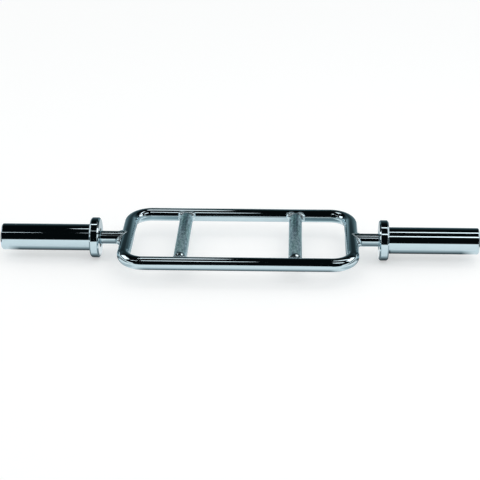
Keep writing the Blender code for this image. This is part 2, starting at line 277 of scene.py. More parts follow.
dark_tint = add_node(tree, "ShaderNodeMix", {
    "Factor": bands.outputs["Result"], "A": linear("#7DA3A8"), "B": linear("#84A0AE")}, data_type="RGBA")
pale_tint = add_node(tree, "ShaderNodeMix", {
    "Factor": bands.outputs["Result"], "A": linear("#C4F0F4"), "B": linear("#CCECF8")}, data_type="RGBA")
tint = add_node(tree, "ShaderNodeMix", {
    "Factor": patches.outputs["Result"], "A": dark_tint.outputs["Result"],
    "B": pale_tint.outputs["Result"]}, data_type="RGBA")

# How high a point stands in the knurl, from its distance to the grip's axis: the grooves are rougher, and
# darker in colour as painted shade.
own_place = add_node(tree, "ShaderNodeTexCoord", {})
off_axis = add_node(tree, "ShaderNodeVectorMath", {
    0: own_place.outputs["Object"], 1: (0, 1, 1)}, operation="MULTIPLY")
radius = add_node(tree, "ShaderNodeVectorMath", {0: off_axis.outputs["Vector"]}, operation="LENGTH")
height = add_node(tree, "ShaderNodeMapRange", {
    "Value": radius.outputs["Value"], "From Min": grip_radius - KNURL_DEPTH,
    "From Max": grip_radius - POINT_ROUND})
# Painted shade: the colour is darkened towards the bottom of each groove.
groove_shade = add_node(tree, "ShaderNodeMapRange", {
    "Value": height.outputs["Result"], "To Min": 0.62, "To Max": 1.0})
tint_and_groove_shade = add_node(tree, "ShaderNodeMix", {
    "Factor": 1.0, "A": tint.outputs["Result"], "B": groove_shade.outputs["Result"]}, data_type="RGBA",
    blend_type="MULTIPLY")

# The wear: a strip along the grip is smoother towards the rear rail.
axes = add_node(tree, "ShaderNodeSeparateXYZ", {"Vector": place})
from_middle = add_node(tree, "ShaderNodeMath", {0: axes.outputs["X"]}, operation="SUBTRACT")
own_axes = add_node(tree, "ShaderNodeSeparateXYZ", {"Vector": own_place.outputs["Object"]})
across = add_node(tree, "ShaderNodeMath", {0: own_axes.outputs["Y"]}, operation="ABSOLUTE")
strip = add_node(tree, "ShaderNodeMapRange", {
    "Value": across.outputs["Value"], "From Min": STRIP_INNER * grip_radius,
    "From Max": STRIP_OUTER * grip_radius, "To Min": 1.0, "To Max": 0.0})
worn = add_node(tree, "ShaderNodeMapRange", {
    "Value": from_middle.outputs["Value"], "From Min": WEAR_START / MM, "From Max": WEAR_END / MM,
    "To Max": strip.outputs["Result"]})
groove_blur = add_node(tree, "ShaderNodeMapRange", {
    "Value": worn.outputs["Result"], "To Min": 0.42, "To Max": 0.26})
satin_blur = add_node(tree, "ShaderNodeMapRange", {
    "Value": height.outputs["Result"], "To Min": groove_blur.outputs["Result"], "To Max": 0.20})
knurl_metal = add_node(tree, "ShaderNodeMapRange", {
    "Value": worn.outputs["Result"], "To Min": 0.56, "To Max": 0.94})

# The plain ends are as bright as the frame.
off_middle = add_node(tree, "ShaderNodeMath", {0: from_middle.outputs["Value"]}, operation="ABSOLUTE")
plain = add_node(tree, "ShaderNodeMapRange", {
    "Value": off_middle.outputs["Value"], "From Min": knurl_half * row_step / MM - PLAIN_BLEND_MM,
    "From Max": knurl_half * row_step / MM + PLAIN_BLEND_MM})
colour = add_node(tree, "ShaderNodeMix", {
    "Factor": plain.outputs["Result"], "A": tint_and_groove_shade.outputs["Result"], "B": linear("#C5DAE1")},
    data_type="RGBA")
blur = add_node(tree, "ShaderNodeMapRange", {
    "Value": plain.outputs["Result"], "To Min": satin_blur.outputs["Result"], "To Max": 0.07})
metal = add_node(tree, "ShaderNodeMapRange", {
    "Value": plain.outputs["Result"], "To Min": knurl_metal.outputs["Result"], "To Max": 1.0})
depth = add_node(tree, "ShaderNodeMapRange", {
    "Value": plain.outputs["Result"], "To Min": 0.4, "To Max": 0.02})
bump = add_node(tree, "ShaderNodeBump", {
    "Height": grain.outputs["Fac"], "Strength": depth.outputs["Result"], "Distance": 0.03 * MM})
tree.links.new(colour.outputs["Result"], shader.inputs["Base Color"])
tree.links.new(blur.outputs["Result"], shader.inputs["Roughness"])
tree.links.new(metal.outputs["Result"], shader.inputs["Metallic"])
tree.links.new(bump.outputs["Normal"], shader.inputs["Normal"])

grip_mesh = skin("knurled_grip", rows, knurled, sharp=KNURL_CREASE)
from_middle.inputs[1].default_value = max(item.uv.x for item in grip_mesh.uv_layers["surface"].data) / 2
for side, x_sign in (("left", -1), ("right", 1)):
    fit(side + "_knurled_grip", grip_mesh, "frame", side + "_grip",
        turn=math.pi / 2, place=(x_sign * grip_x, 0, 0))


# The weld beads. Gas-shielded arc welds laid in one pass round each member, full at its sides and
# low over its top, with the ripples of the weld pool. They are plated as they were laid.
FRONT_WELD_SIDE = 3.6 * MM  # the size of a bead at the sides of its member, and over its top
FRONT_WELD_TOP = 2.2 * MM
REAR_WELD_SIDE = 7.4 * MM
REAR_WELD_TOP = 4.5 * MM
REAR_WELD_PEAK = math.radians(62)  # the bead is fullest this far down from the member's top
SPINDLE_WELD_SIDES = {"left": 9.5 * MM, "right": 7.5 * MM}
SPINDLE_WELD_TOP = 3.8 * MM
SPINDLE_FILL = 4  # the powers that shape a bead from its sides to its top
GRIP_FILL = 2
WELD_SINK = 1.0 * MM  # the middle of a bead lies this far under the member's surface
GRIP_TOP_SINK = 4.8 * MM  # the bead lies this much deeper over the grip, in the groove at its end
SPINDLE_TOP_SINK = 2.2 * MM
GRIP_SINK_POWER = 4  # the higher, the more the sinking keeps to the very top
SPINDLE_SINK_POWER = 2
GRIP_REACH = 12.0 * MM  # a bead comes no closer than this to the axis of the frame's bar
SPINDLE_REACH = 1.0 * MM
WELD_RISE = 0.2 * MM
WELD_FOOT = 2 * MM  # how deep a bead closes under the surfaces
ARC_START = -0.15 * math.pi  # a bead's section is this much of a circle
ARC_SWEEP = 1.3 * math.pi
RIPPLE_PITCH = 1.7 * MM
RIPPLE_HEIGHT = 0.14 * MM
RIPPLE_MEAN = 0.6  # about the mean height of a ripple, so that the ripples add no bulk
RIPPLE_LAG = 1.5  # how far a ripple trails at the bead's two edges
LUMP = 0.9 * MM
LUMPS = ((3, 1, 1.0), (7, 2, 0.6))  # waves round the member, how they shift with the bead, share
LOW_LUMP = 0.4  # share of the lumps that is left where the bead is low
BEAD_SHIFT = 1.7  # moves the lumps from bead to bead, so that no two are alike
WELD_ARC_STEPS = 14
WELD_STATIONS = 300


def weld_row(turn, member, side_size, top_size, peak, fill, top_sink, sink_power, closest, shift):
    """One section of a bead, at an angle round its member. It starts and ends under the surfaces."""
    middle = member - WELD_SINK - top_sink * math.sin(turn) ** sink_power
    reach = max(bar_radius, member) + WELD_RISE
    out = max(math.sqrt(reach ** 2 - (member * math.sin(turn)) ** 2), closest)
    from_top = math.acos(math.sin(turn))
    fullness = math.sin(min(math.pi, from_top * math.pi / 2 / peak)) ** fill
    lump = LUMP * sum(share * math.sin(waves * turn + shifts * shift) for waves, shifts, share in LUMPS)
    size = side_size * fullness + top_size * (1 - fullness)
    size += lump * (LOW_LUMP + (1 - LOW_LUMP) * fullness)
    ripples = round(math.tau * member / RIPPLE_PITCH)
    spoke = Vector((0, math.cos(turn), math.sin(turn)))
    points = []
    for step in range(WELD_ARC_STEPS + 1):
        share = step / WELD_ARC_STEPS
        rise = ARC_START + share * ARC_SWEEP
        lag = RIPPLE_LAG * (2 * share - 1) ** 2
        ripple = abs(math.sin((ripples * turn + lag) / 2))
        radius = size + RIPPLE_HEIGHT * (ripple - RIPPLE_MEAN) * math.sin(math.pi * share)
        station = Vector((out + radius * math.cos(rise), 0, 0))
        points.append(spoke * (middle + radius * math.sin(rise)) + station)
    points.append(spoke * (middle - WELD_FOOT) + Vector((out, 0, 0)))
    return points


# Chromium over a rough bead. It is bright but never flat, with darker oxide specks in the ripples.
SPECK_MM = (2.8, 2.0, 1)  # round the member, and across the bead
weld_plate, tree, shader, place = new_surface("plated_weld_bead")
speck_place = add_node(tree, "ShaderNodeVectorMath", {0: place, 1: SPECK_MM}, operation="DIVIDE")
specks = add_node(tree, "ShaderNodeTexNoise", {
    "Vector": speck_place.outputs["Vector"], "Scale": 1.0, "Detail": 3.0, "Roughness": 0.5})
tint = add_node(tree, "ShaderNodeMix", {
    "Factor": specks.outputs["Fac"], "A": linear("#B4D2DC"), "B": linear("#ECFAFF")}, data_type="RGBA")
blur = add_node(tree, "ShaderNodeMapRange", {
    "Value": specks.outputs["Fac"], "From Min": 0.35, "From Max": 0.7, "To Min": 0.15, "To Max": 0.06})
bump = add_node(tree, "ShaderNodeBump", {
    "Height": specks.outputs["Fac"], "Strength": 0.16, "Distance": 0.5 * MM})
tree.links.new(tint.outputs["Result"], shader.inputs["Base Color"])
tree.links.new(blur.outputs["Result"], shader.inputs["Roughness"])
tree.links.new(bump.outputs["Normal"], shader.inputs["Normal"])
shader.inputs["Metallic"].default_value = 0.82

spindle_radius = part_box("right_spindle")[1].y / FLAT
welds = []
for side, x_sign in (("left", -1), ("right", 1)):
    for rail, y_sign in (("front", -1), ("rear", 1)):
        at = (x_sign * grip_x, y_sign * rail_y, 0)
        side_size, top_size, peak = FRONT_WELD_SIDE, FRONT_WELD_TOP, math.pi / 2
        if rail == "rear":
            side_size, top_size, peak = REAR_WELD_SIDE, REAR_WELD_TOP, REAR_WELD_PEAK
        welds.append((side + "_grip_" + rail + "_weld", at, -y_sign * math.pi / 2,
                      (grip_radius, side_size, top_size, peak, GRIP_FILL, GRIP_TOP_SINK, GRIP_SINK_POWER,
                       GRIP_REACH)))
    welds.append((side + "_spindle_weld", (x_sign * end_x, 0, 0), (1 - x_sign) * math.pi / 2,
                  (spindle_radius, SPINDLE_WELD_SIDES[side], SPINDLE_WELD_TOP, math.pi / 2, SPINDLE_FILL,
                   SPINDLE_TOP_SINK, SPINDLE_SINK_POWER, SPINDLE_REACH)))
for number, (node, at, turn, form) in enumerate(welds):
    rows = [weld_row(math.tau * station / WELD_STATIONS, *form, BEAD_SHIFT * number)
            for station in range(WELD_STATIONS)]
    mesh = skin(node + "_bead", rows, weld_plate, ring=True)
    fit(node + "_bead", mesh, "frame", node, turn, at)


# The two spindles. Turned from 25 mm bar with a step down to the journal for the outer bushing,
# drilled and tapped at the end, coped to the frame's end and welded. Plated with the frame.
TURN_SIDES = 128
TAP_RADIUS = 5.3 * MM
TAP_DEPTH = 26 * MM
STEP_EDGE = 0.8 * MM
SPINDLE_EDGE = 0.3 * MM
CLEARANCE = 0.3 * MM  # drawn between pieces that turn on one another
TIP = 0.001 * MM  # the radius that stands in for a point on the axis
BOTH_ENDS = (("left", math.pi), ("right", 0.0))  # what is made for the right end turns round for the left


def turned_size(node):
    """First and last station along X, and least and greatest radius, of a node turned about the X axis."""
    points = [vertex.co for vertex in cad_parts[node].data.vertices]
    stations = [point.x for point in points]
    radii = [math.hypot(point.y, point.z) for point in points]
    return min(stations), max(stations), min(radii), max(radii)


def eased(corners, steps=4):
    """A profile of (station, radius) points, from corners with the size of the round on each."""
    points = []
    for index, (station, radius, ease) in enumerate(corners):
        here = Vector((station, radius))
        if not ease or index in (0, len(corners) - 1):
            points.append(here)
            continue
        before = Vector(corners[index - 1][:2]) - here
        after = Vector(corners[index + 1][:2]) - here
        first = here + before.normalized() * min(ease, before.length / 2)
        last = here + after.normalized() * min(ease, after.length / 2)
        if before.length / 2 > ease + HOLD:
            points.append(first + before.normalized() * HOLD)
        for step in range(steps + 1):
            share = step / steps
            points.append(first * (1 - share) ** 2 + here * 2 * share * (1 - share) + last * share ** 2)
        if after.length / 2 > ease + HOLD:
            points.append(last + after.normalized() * HOLD)
    return points


def turned_rows(profile, sides=TURN_SIDES):
    """The rows of points of a profile turned about the X axis."""
    angles = [math.tau * side / sides for side in range(sides)]
    return [[Vector((point.x, point.y * math.cos(angle), point.y * math.sin(angle))) for angle in angles]
            for point in profile]


spindle_end = turned_size("right_spindle")[1]
journal_radius = turned_size("right_outer_bushing")[2] - CLEARANCE
shank_end = turned_size("right_thrust_washer")[0] - CLEARANCE
profile = eased([
    (shank_end, spindle_radius, STEP_EDGE),
    (shank_end, journal_radius, 0),
    (spindle_end, journal_radius, STEP_EDGE),
    (spindle_end, TAP_RADIUS, STEP_EDGE),
    (spindle_end - TAP_DEPTH, TAP_RADIUS, 0),
    (spindle_end - TAP_DEPTH - TAP_RADIUS / 2, TIP, 0),
])
rows = end_rows(TURN_SIDES, spindle_radius, bar_radius, SPINDLE_REACH, SPINDLE_EDGE)
for row in rows:
    for point in row:
        point.x += end_x
rows += turned_rows(profile)
spindle_mesh = skin("turned_spindle", rows, chrome)
for side, turn in BOTH_ENDS:
    fit(side + "_turned_spindle", spindle_mesh, "frame", side + "_spindle", turn)


# The collars. Steel flanges bored and turned with a 45 degree chamfer on both rims, pressed on the
# sleeve tube against a shallow lip, polished all over and plated.
COLLAR_CHAMFER = 2.75 * MM
COLLAR_LIP = 4 * MM
COLLAR_MOUTH = 1.0 * MM  # the bore's countersink
SEAT_CLEARANCE = 0.1 * MM  # draws the seam between collar and sleeve as a thin line
EDGE = 0.5 * MM
MOUTH_ROUND = 0.3 * MM
SMALL_ROUND = 0.2 * MM
POLISHED_SIDES = 160


def closed_rows(corners, sides):
    """The rows of a closed outline, with its corners eased, turned about the X axis."""
    profile = eased([corners[-1]] + corners + [corners[0]])
    return turned_rows(profile[1:-1] + profile[1:2], sides)


collar_start, collar_end, collar_bore, collar_radius = turned_size("right_collar")
tube_start, tube_end, tube_bore, tube_radius = turned_size("right_sleeve_tube")
seat_radius = tube_radius + SEAT_CLEARANCE
corners = [
    (collar_start, collar_bore + COLLAR_MOUTH, MOUTH_ROUND),
    (collar_start, collar_radius - COLLAR_CHAMFER, EDGE),
    (collar_start + COLLAR_CHAMFER, collar_radius, EDGE),
    (collar_end - COLLAR_CHAMFER, collar_radius, EDGE),
    (collar_end, collar_radius - COLLAR_CHAMFER, EDGE),
    (collar_end, seat_radius + EDGE, SMALL_ROUND),
    (collar_end - EDGE, seat_radius, SMALL_ROUND),
    (collar_start + COLLAR_LIP, seat_radius, 0),
    (collar_start + COLLAR_LIP, collar_bore, 0),
    (collar_start + COLLAR_MOUTH, collar_bore, MOUTH_ROUND),
]
collar_mesh = skin("turned_collar", closed_rows(corners, POLISHED_SIDES), chrome)
for side, turn in BOTH_ENDS:
    fit(side + "_turned_collar", collar_mesh, side + "_sleeve", side + "_collar", turn)


# The loading sleeves. Seamless 50 mm tube, turned true, with a chamfer at the open end that guides
# a plate on. Ground, buffed and plated outside; the bore keeps its drawn finish under the plate.
SLEEVE_CHAMFER = 2 * MM
CHAMFER_ROUND = 0.8 * MM
corners = [
    (tube_start, tube_bore + EDGE, SMALL_ROUND),
    (tube_start, tube_radius - EDGE, SMALL_ROUND),
    (tube_start + EDGE, tube_radius, SMALL_ROUND),
    (tube_end - SLEEVE_CHAMFER, tube_radius, CHAMFER_ROUND),
    (tube_end, tube_radius - SLEEVE_CHAMFER, CHAMFER_ROUND),
    (tube_end, tube_bore + EDGE, MOUTH_ROUND),
    (tube_end - EDGE, tube_bore, MOUTH_ROUND),
    (tube_start + EDGE, tube_bore, SMALL_ROUND),
]
sleeve_mesh = skin("turned_sleeve", closed_rows(corners, POLISHED_SIDES), chrome)
for side, turn in BOTH_ENDS:
    fit(side + "_turned_sleeve", sleeve_mesh, side + "_sleeve", side + "_sleeve_tube", turn)


# The bushings. Two plain bearings of sintered bronze in each sleeve, pressed in and soaked in oil;
# the inner one shows as a dark ring round the spindle, a millimetre inside the collar's face.
BUSHING_EDGE = 0.6 * MM

# Bronze powder, pressed and sintered. Its open pores hold dark oil, so it is a deep brown, nearly
# black, with a soft sheen that varies with the oil.
PORE_MM = 0.5  # the real ones are far finer
OIL_MM = 9
bronze, tree, shader, place = new_surface("oil_soaked_sintered_bronze")
pores = add_node(tree, "ShaderNodeTexNoise", {
    "Vector": place, "Scale": 1 / PORE_MM, "Detail": 3.0, "Roughness": 0.7})
oil = add_node(tree, "ShaderNodeTexNoise", {
    "Vector": place, "Scale": 1 / OIL_MM, "Detail": 2.0, "Roughness": 0.5})
tint = add_node(tree, "ShaderNodeMix", {
    "Factor": pores.outputs["Fac"], "A": linear("#23211E"), "B": linear("#403D38")}, data_type="RGBA")
blur = add_node(tree, "ShaderNodeMapRange", {
    "Value": oil.outputs["Fac"], "From Min": 0.35, "From Max": 0.65, "To Min": 0.28, "To Max": 0.46})
bump = add_node(tree, "ShaderNodeBump", {
    "Height": pores.outputs["Fac"], "Strength": 0.5, "Distance": 0.04 * MM})
tree.links.new(tint.outputs["Result"], shader.inputs["Base Color"])
tree.links.new(blur.outputs["Result"], shader.inputs["Roughness"])
tree.links.new(bump.outputs["Normal"], shader.inputs["Normal"])
shader.inputs["Metallic"].default_value = 1.0


def ring_rows(node, edge):
    """The rows of a plain ring with the size of its CAD node and a small chamfer on each edge."""
    start, end, inner, outer = turned_size(node)
    places = [
        (start, inner + edge), (start, outer - edge), (start + edge, outer), (end - edge, outer),
        (end, outer - edge), (end, inner + edge), (end - edge, inner), (start + edge, inner),
    ]
    return closed_rows([(station, radius, edge / 3) for station, radius in places], TURN_SIDES)


for place_name in ("inner", "outer"):
    mesh = skin(place_name + "_bush", ring_rows("right_" + place_name + "_bushing", BUSHING_EDGE), bronze)
    for side, turn in BOTH_ENDS:
        fit(f"{side}_{place_name}_bush", mesh, side + "_sleeve",
            f"{side}_{place_name}_bushing", turn)


# The thrust and retaining washers. Turned from steel and zinc plated; one runs against the step of
# the spindle and the other, under the bolt, keeps the sleeve from sliding off.
WASHER_EDGE = 0.4 * MM

# Zinc over a turned face. It is paler and bluer than steel, with the rings that the tool left and
# faint cloudy spangles.
TOOL_MARK_MM = (0.35, 6000, 1)  # the tool's feed; its marks go right round
SPANGLE_MM = 2.2
zinc, tree, shader, place = new_surface("bright_zinc_plated_steel")
mark_place = add_node(tree, "ShaderNodeVectorMath", {0: place, 1: TOOL_MARK_MM}, operation="DIVIDE")
rings = add_node(tree, "ShaderNodeTexNoise", {
    "Vector": mark_place.outputs["Vector"], "Scale": 1.0, "Detail": 1.0, "Roughness": 0.5})
spangle = add_node(tree, "ShaderNodeTexVoronoi", {
    "Vector": place, "Scale": 1 / SPANGLE_MM, "Randomness": 1.0}, feature="SMOOTH_F1")
tint = add_node(tree, "ShaderNodeMix", {
    "Factor": spangle.outputs["Distance"], "A": linear("#A8AFB4"), "B": linear("#C4C9CA")},
    data_type="RGBA")
blur = add_node(tree, "ShaderNodeMapRange", {
    "Value": rings.outputs["Fac"], "From Min": 0.3, "From Max": 0.7, "To Min": 0.22, "To Max": 0.36})
bump = add_node(tree, "ShaderNodeBump", {
    "Height": rings.outputs["Fac"], "Strength": 0.6, "Distance": 0.015 * MM})
tree.links.new(tint.outputs["Result"], shader.inputs["Base Color"])
tree.links.new(blur.outputs["Result"], shader.inputs["Roughness"])
tree.links.new(bump.outputs["Normal"], shader.inputs["Normal"])
shader.inputs["Metallic"].default_value = 1.0

for kind in ("thrust", "retaining"):
    mesh = skin(kind + "_ring", ring_rows(f"right_{kind}_washer", WASHER_EDGE), zinc)
    for side, turn in BOTH_ENDS:
        fit(f"{side}_{kind}_ring", mesh, "frame", f"{side}_{kind}_washer", turn)


# The split lock washers. Coiled from square spring wire and cut at a slant, so that one end stands
# a little proud and bites under the bolt head.
LOCK_SLIT = 2 * MM
LOCK_SLANT = 1.2 * MM  # the cut leans this far across the washer's thickness
LOCK_RISE = 0.15 * MM
LOCK_EDGE = 0.35 * MM
LOCK_STEPS = 140
lock_start, lock_end, lock_bore, lock_radius = turned_size("right_lock_washer")
lock_middle = (lock_bore + lock_radius) / 2
section = [
    (lock_start + LOCK_EDGE, lock_bore), (lock_start, lock_bore + LOCK_EDGE),
    (lock_start, lock_radius - LOCK_EDGE), (lock_start + LOCK_EDGE, lock_radius),
    (lock_end - LOCK_EDGE, lock_radius), (lock_end, lock_radius - LOCK_EDGE),
    (lock_end, lock_bore + LOCK_EDGE), (lock_end - LOCK_EDGE, lock_bore),
]
rows = []
for step in range(LOCK_STEPS + 1):
    share = step / LOCK_STEPS
    row = []
    for station, radius in section:
        through = (station - lock_start) / (lock_end - lock_start)
        lean = LOCK_SLANT * (through - 0.5)
        first = (LOCK_SLIT / 2 + lean) / lock_middle
        last = math.tau - (LOCK_SLIT / 2 - lean) / lock_middle
        angle = math.pi / 2 + first + (last - first) * share
        shift = LOCK_RISE * (share - 0.5) * (1 - abs(2 * through - 1))
        row.append(Vector((station + shift, radius * math.cos(angle), radius * math.sin(angle))))
    rows.append(row)
first_face, last_face = ([sum(row, Vector()) / len(row)] * len(row) for row in (rows[0], rows[-1]))
rows = [first_face] + rows + [last_face]
lock_mesh = skin("spring_washer", rows, zinc)
for side, turn in BOTH_ENDS:
    piece = fit(side + "_spring_washer", lock_mesh, "frame", side + "_lock_washer")
    piece.matrix_world = Matrix.Rotation(turn, 4, 'Z')


# The retaining bolts. Forged M10 socket head cap screws with a knurled head and a rolled thread,
# zinc plated, one in the end of each spindle.
BOLT_RADIUS = 5 * MM
HEAD_HEIGHT = 10 * MM
HEAD_EDGE = 0.8 * MM
HEAD_BREAK = 0.24 * MM  # breaks the edge's own corner
HEAD_FOOT = 0.4 * MM  # the chamfer under the head
HEAD_FLUTES = 40
HEAD_FLUTE_DEPTH = 0.18 * MM
BAND_FOOT = 1.6 * MM  # the fluted band starts this far over the foot, and ends this far under the top
BAND_TOP = 1.4 * MM
BAND_FADE = 0.2 * MM
KEY_APOTHEM = 4 * MM
KEY_DEPTH = 5 * MM
KEY_FLOOR = 0.9  # the flat floor of the socket, as a share of the apothem
KEY_POINT = 1.0 * MM  # the drill's point under the floor
MOUTH_EDGE = 0.2 * MM  # the socket's countersink reaches this far past the hexagon's corners
MOUTH_SLOPE = 0.6
THREAD_PITCH = 1.5 * MM
THREAD_DEPTH = 0.7 * MM
PLAIN_SHANK = 4 * MM
BOLT_SIDES = 240
bolt_start, bolt_end, _, head_radius = turned_size("right_retaining_bolt")
head_start = bolt_end - HEAD_HEIGHT


def bolt_row(station, size):
    """A row of the bolt. Its size is a radius, or a function that gives the radius at an angle."""
    row = []
    for side in range(BOLT_SIDES):
        angle = math.tau * side / BOLT_SIDES
        radius = size(angle) if callable(size) else size
        row.append(Vector((station, radius * math.cos(angle), radius * math.sin(angle))))
    return row


def key_at(angle):
    """The radius of the hexagon at an angle."""
    sixth = math.tau / 6
    return KEY_APOTHEM / math.cos(angle % sixth - sixth / 2)


def fluted(angle):
    """The radius of the head's knurled band at an angle."""
    return head_radius - HEAD_FLUTE_DEPTH * (1 - abs(math.sin(HEAD_FLUTES * angle / 2)))


# The socket's mouth is countersunk, and the cone runs down between the hexagon's corners.
key_mouth = KEY_APOTHEM / math.cos(math.tau / 12) + MOUTH_EDGE
mouth_row = bolt_row(bolt_end, key_at)
for point in mouth_row:
    point.x -= (key_mouth - math.hypot(point.y, point.z)) * MOUTH_SLOPE
thread = (BOLT_RADIUS - THREAD_DEPTH, BOLT_RADIUS - THREAD_DEPTH / 2,
          BOLT_RADIUS, BOLT_RADIUS - THREAD_DEPTH / 2)
thread_step = THREAD_PITCH / len(thread)
rows = [bolt_row(bolt_start, TIP)]
for turn in range(round((head_start - PLAIN_SHANK - bolt_start) / THREAD_PITCH)):
    for step, radius in enumerate(thread):
        rows.append(bolt_row(bolt_start + turn * THREAD_PITCH + step * thread_step, radius))
rows += [
    bolt_row(head_start, BOLT_RADIUS),
    bolt_row(head_start, head_radius - HEAD_FOOT),
    bolt_row(head_start + HEAD_FOOT, head_radius),
    bolt_row(head_start + BAND_FOOT, head_radius),
    bolt_row(head_start + BAND_FOOT + BAND_FADE, fluted),
    bolt_row(bolt_end - BAND_TOP - BAND_FADE, fluted),
    bolt_row(bolt_end - BAND_TOP, head_radius),
    bolt_row(bolt_end - HEAD_EDGE, head_radius),
    bolt_row(bolt_end - HEAD_BREAK, head_radius - HEAD_BREAK),
    bolt_row(bolt_end, head_radius - HEAD_EDGE),
    bolt_row(bolt_end, key_mouth),
    mouth_row,
    bolt_row(bolt_end - KEY_DEPTH, key_at),
    bolt_row(bolt_end - KEY_DEPTH, KEY_FLOOR * KEY_APOTHEM),
    bolt_row(bolt_end - KEY_DEPTH - KEY_POINT, TIP),
]
bolt_mesh = skin("socket_head_bolt", rows, zinc)
for side, turn in BOTH_ENDS:
    fit(side + "_socket_head_bolt", bolt_mesh, "frame", side + "_retaining_bolt", turn)


# The studio. White paper under the bar and white light low down all round it. A black cloth hangs
# over it, a dark screen stands behind it, and grey cards and dark boards lie on the paper; only
# metal shows these, and the cards under the tubes and in the frame's windows are painted shadow.
# Soft lamps under the cloth draw the bright lines along the tubes.
FLOOR_HALF = 12.0
FLOOR_GAP = 0.5 * MM  # keeps the round collars just clear of the paper
floor_z = -collar_radius - FLOOR_GAP
PAPER_GLOW = 0.445  # lifts the paper to white where it is seen, and leaves the shadow on it
PAPER_NEAR = 1.5  # beyond this distance the paper fades into the white round it, so no horizon shows
PAPER_FAR = 4.5
WORLD_LIGHT = 0.80


def seen_directly(tree):
    """Is 1 for what the camera sees itself or sees in metal or through glass."""
    path = add_node(tree, "ShaderNodeLightPath", {})
    mirrored = add_node(tree, "ShaderNodeMath", {
        0: path.outputs["Is Camera Ray"], 1: path.outputs["Is Glossy Ray"]}, operation="MAXIMUM")
    return add_node(tree, "ShaderNodeMath", {
        0: mirrored.outputs["Value"], 1: path.outputs["Is Transmission Ray"]},
        operation="MAXIMUM").outputs["Value"]


paper = bpy.data.materials.new("white_paper")
paper.use_nodes = True
tree = paper.node_tree
tree.nodes["Principled BSDF"].inputs["Base Color"].default_value = linear("#CFD1D1")
tree.nodes["Principled BSDF"].inputs["Roughness"].default_value = 0.9
tree.nodes["Principled BSDF"].inputs["Specular IOR Level"].default_value = 0.0
glow_strength = add_node(tree, "ShaderNodeMapRange", {"Value": seen_directly(tree), "To Max": PAPER_GLOW})
glow = add_node(tree, "ShaderNodeEmission", {
    "Color": linear("#FFFFFF"), "Strength": glow_strength.outputs["Result"]})
both = add_node(tree, "ShaderNodeAddShader", {
    0: tree.nodes["Principled BSDF"].outputs["BSDF"], 1: glow.outputs["Emission"]})
own_place = add_node(tree, "ShaderNodeTexCoord", {})
distance = add_node(tree, "ShaderNodeVectorMath", {0: own_place.outputs["Object"]}, operation="LENGTH")
fade = add_node(tree, "ShaderNodeMapRange", {
    "Value": distance.outputs["Value"], "From Min": PAPER_NEAR, "From Max": PAPER_FAR})
far_strength = add_node(tree, "ShaderNodeMapRange", {
    "Value": seen_directly(tree), "To Min": WORLD_LIGHT, "To Max": 1.0})
far_white = add_node(tree, "ShaderNodeEmission", {
    "Color": linear("#FFFFFF"), "Strength": far_strength.outputs["Result"]})
faded = add_node(tree, "ShaderNodeMixShader", {
    0: fade.outputs["Result"], 1: both.outputs["Shader"], 2: far_white.outputs["Emission"]})
tree.links.new(faded.outputs["Shader"], tree.nodes["Material Output"].inputs["Surface"])
floor_mesh = bpy.data.meshes.new("floor")
floor_corners = [(x, y, floor_z) for x in (-FLOOR_HALF, FLOOR_HALF) for y in (-FLOOR_HALF, FLOOR_HALF)]
floor_mesh.from_pydata(floor_corners, [], [(0, 2, 3, 1)])
floor_mesh.materials.append(paper)
floor = bpy.data.objects.new("floor", floor_mesh)
bpy.context.scene.collection.objects.link(floor)

world = bpy.data.worlds.new("white_studio")
world.use_nodes = True
tree = world.node_tree
strength = add_node(tree, "ShaderNodeMapRange", {
    "Value": seen_directly(tree), "To Min": WORLD_LIGHT, "To Max": 1.0})
tree.nodes["Background"].inputs["Color"].default_value = (1, 1, 1, 1)
tree.links.new(strength.outputs["Result"], tree.nodes["Background"].inputs["Strength"])
bpy.context.scene.world = world

# Matt card and cloth, which give the eye nothing but their own shade, point by point.
matt = bpy.data.materials.new("matt_card")
matt.use_nodes = True
tree = matt.node_tree
tree.nodes.remove(tree.nodes["Principled BSDF"])
shade = add_node(tree, "ShaderNodeAttribute", {}, attribute_name="shade")
shown = add_node(tree, "ShaderNodeEmission", {"Color": shade.outputs["Color"], "Strength": 1.0})
tree.links.new(shown.outputs["Emission"], tree.nodes["Material Output"].inputs["Surface"])


def metal_only(name, rows, shades, tint, closed=False):
    """A sheet through rows of points, with a tinted grey at each. Only metal shows it."""
    count = len(rows[0])
    faces = [(row * count + side, row * count + (side + 1) % count,
              (row + 1) * count + (side + 1) % count, (row + 1) * count + side)
             for row in range(len(rows) - 1) for side in range(count if closed else count - 1)]
    mesh = bpy.data.meshes.new(name)
    mesh.from_pydata([point for row in rows for point in row], [], faces)
    colours = mesh.color_attributes.new(name="shade", type='FLOAT_COLOR', domain='POINT')
    for index, value in enumerate(value for row in shades for value in row):
        colours.data[index].color = (*[value * (1 + (part - 1) * (1 - value)) for part in tint], 1.0)
    mesh.materials.append(matt)
    card = bpy.data.objects.new(name, mesh)
    bpy.context.scene.collection.objects.link(card)
    card.visible_camera = False
    card.visible_diffuse = False
    card.visible_shadow = False


def stepped(value, start, end):
    """Goes smoothly from 0 at start to 1 at end."""
    share = min(1.0, max(0.0, (value - start) / (end - start)))
    return share * share * (3 - 2 * share)


